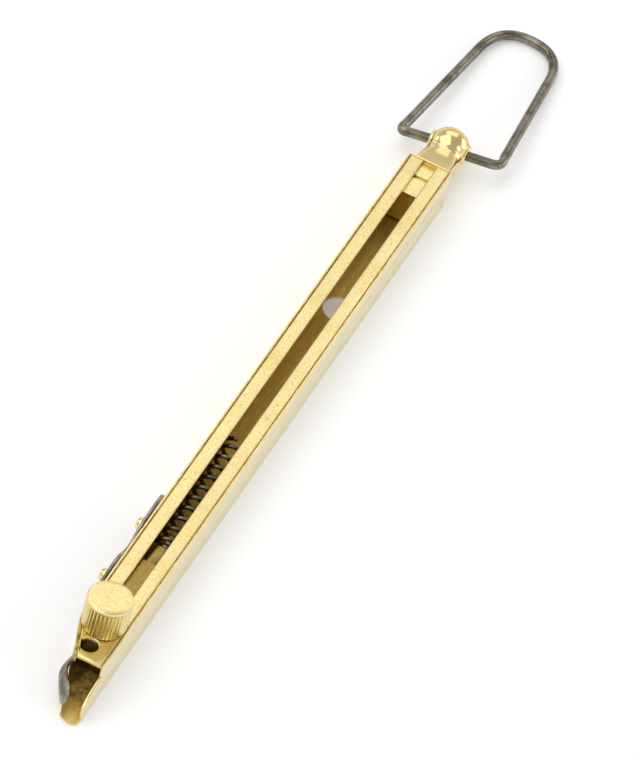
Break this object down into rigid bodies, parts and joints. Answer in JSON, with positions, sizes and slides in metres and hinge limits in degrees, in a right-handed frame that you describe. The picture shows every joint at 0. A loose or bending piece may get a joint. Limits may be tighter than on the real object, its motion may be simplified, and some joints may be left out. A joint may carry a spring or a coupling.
{
  "type": "in-line cap dispenser",
  "caption": "Square brass channel with a slotted front plate, a knurled slide knob on a spring follower, a steel spring finger at its cut-away mouth and a hinged wire hanging loop.",
  "frame": {"origin": "on the flat back, half-way along the square tube and across it", "axes": "+X to the right across the channel, +Y along it from the mouth towards the bail, +Z out through the slotted front plate"},
  "size_m": [0.0185, 0.1862, 0.0143],
  "materials": {
    "satin_brass": "satin, finely brushed along its length, with a light patina",
    "polished_brass": "polished, with faint turning marks",
    "knob_brass": "straight knurled, with a turned flat top",
    "dark_steel": "dark oiled spring wire, smooth",
    "grey_steel": "tempered spring strip, grey, lightly worn"
  },
  "bodies": {
    "frame": {"channel_body": "satin_brass", "slotted_plate": "satin_brass", "ball_plug": "polished_brass", "plug_cross_pin": "satin_brass", "leaf_spring": "grey_steel", "upper_rivet": "polished_brass", "upper_spacer": "satin_brass", "lower_rivet": "polished_brass", "lower_spacer": "satin_brass"},
    "bail": {"bail": "dark_steel"},
    "follower": {"follower_bar": "satin_brass", "spring_spigot": "satin_brass", "follower_spring": "dark_steel", "knob_stud": "satin_brass"},
    "knob": {"knob": "knob_brass"},
    "finger": {"leaf_finger": "grey_steel"}
  },
  "joints": [
    {"name": "follower_slide", "type": "slide", "parent": "frame", "child": "follower", "axis": [0, 1, 0], "range_m": [0, 0.082], "stiffness_N_per_m": 6, "springref_m": -0.02, "deforming": ["follower_spring"]},
    {"name": "knob_turn", "type": "hinge", "parent": "follower", "child": "knob", "pos_m": [0, -0.0558, 0.0112], "axis": [0, 0, 1], "range_deg": [0, 180]},
    {"name": "finger_flex", "type": "hinge", "parent": "frame", "child": "finger", "pos_m": [-0.00473, -0.04985, 0.0042], "axis": [0, 0, 1], "range_deg": [-6, 0], "stiffness_Nm_per_rad": 0.3},
    {"name": "bail_swing", "type": "hinge", "parent": "frame", "child": "bail", "pos_m": [0, 0.0794, 0.004], "axis": [1, 0, 0], "range_deg": [0, 165]}
  ]
}
